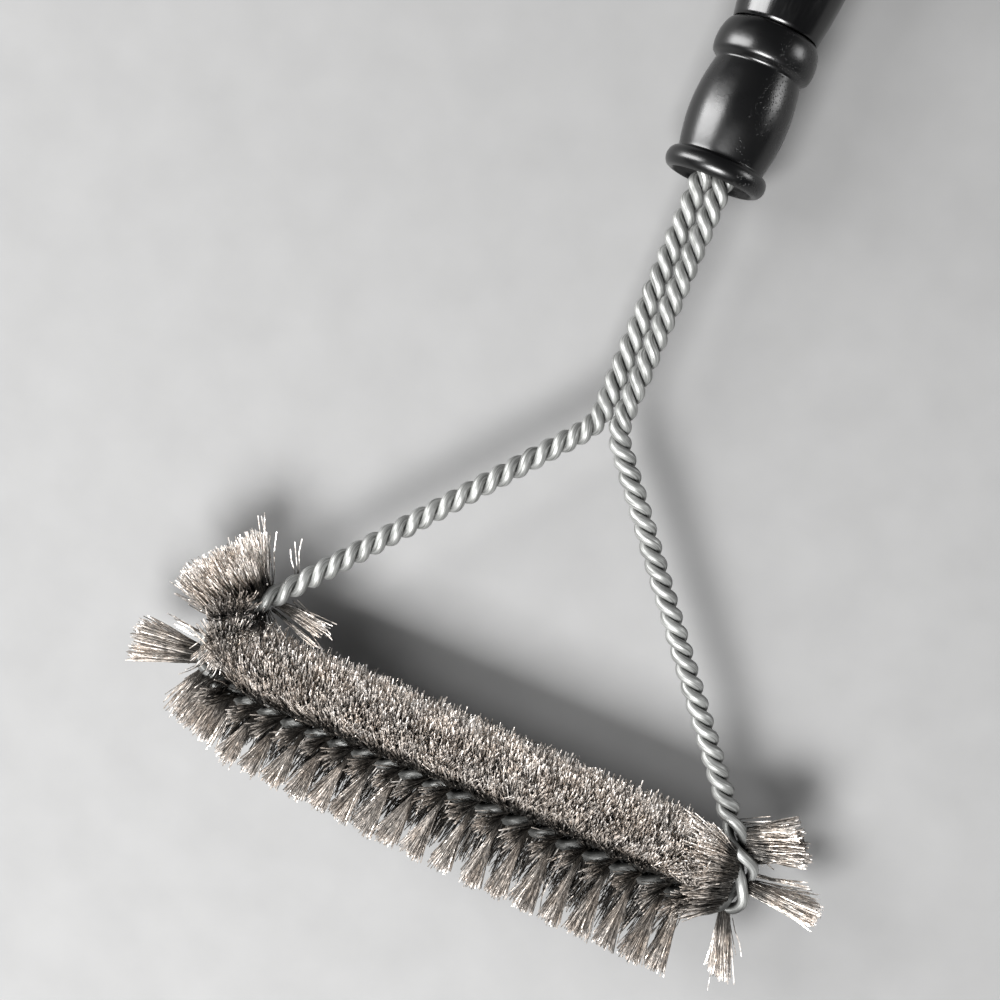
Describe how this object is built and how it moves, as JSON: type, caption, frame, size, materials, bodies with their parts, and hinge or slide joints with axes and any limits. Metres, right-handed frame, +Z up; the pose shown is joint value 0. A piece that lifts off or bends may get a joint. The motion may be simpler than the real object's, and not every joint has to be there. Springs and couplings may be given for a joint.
{
  "type": "grill cleaning brush",
  "caption": "Three-sided twisted-wire grill brush: two strands form the stems, arms and bristled crossbar, held in a black moulded handle with a swinging hanging ring.",
  "frame": {"origin": "centre of the footprint, on the surface that the brush lies on", "axes": "+Y from the crossbar along the stems to the handle's butt, X along the crossbar, +Z up"},
  "size_m": [0.198, 0.34, 0.0412],
  "materials": {
    "wire": "satin galvanised, soft highlights",
    "bristle": "fine drawn filaments, taupe with bright tips",
    "nose_plastic": "satin black moulding with slight orange peel",
    "grip_plastic": "glossy black",
    "core_plastic": "dull black",
    "ferrule_steel": "pressed steel band",
    "ring_steel": "bright plated"
  },
  "bodies": {
    "brush": {"wire_strand_a": "wire", "wire_strand_b": "wire", "bristle_tuft_01": "bristle", "bristle_tuft_02": "bristle", "bristle_tuft_03": "bristle", "bristle_tuft_04": "bristle", "bristle_tuft_05": "bristle", "bristle_tuft_06": "bristle", "bristle_tuft_07": "bristle", "bristle_tuft_08": "bristle", "bristle_tuft_09": "bristle", "bristle_tuft_10": "bristle", "bristle_tuft_11": "bristle", "bristle_tuft_12": "bristle", "bristle_tuft_13": "bristle", "bristle_tuft_14": "bristle", "bristle_tuft_15": "bristle", "bristle_tuft_16": "bristle", "bristle_tuft_17": "bristle", "left_corner_bristles": "bristle", "left_arm_bristles": "bristle", "right_corner_bristles": "bristle", "right_arm_bristles": "bristle", "handle_nose": "nose_plastic", "grip_sleeve": "grip_plastic", "handle_core": "core_plastic", "stem_ferrule": "ferrule_steel", "butt_cap": "nose_plastic"},
    "ring": {"hang_ring": "ring_steel"}
  },
  "joints": [
    {"name": "ring_swing", "type": "hinge", "parent": "brush", "child": "ring", "pos_m": [0, 0.14606, 0.01421], "axis": [1, 0, 0], "range_deg": [-74, 134]}
  ]
}
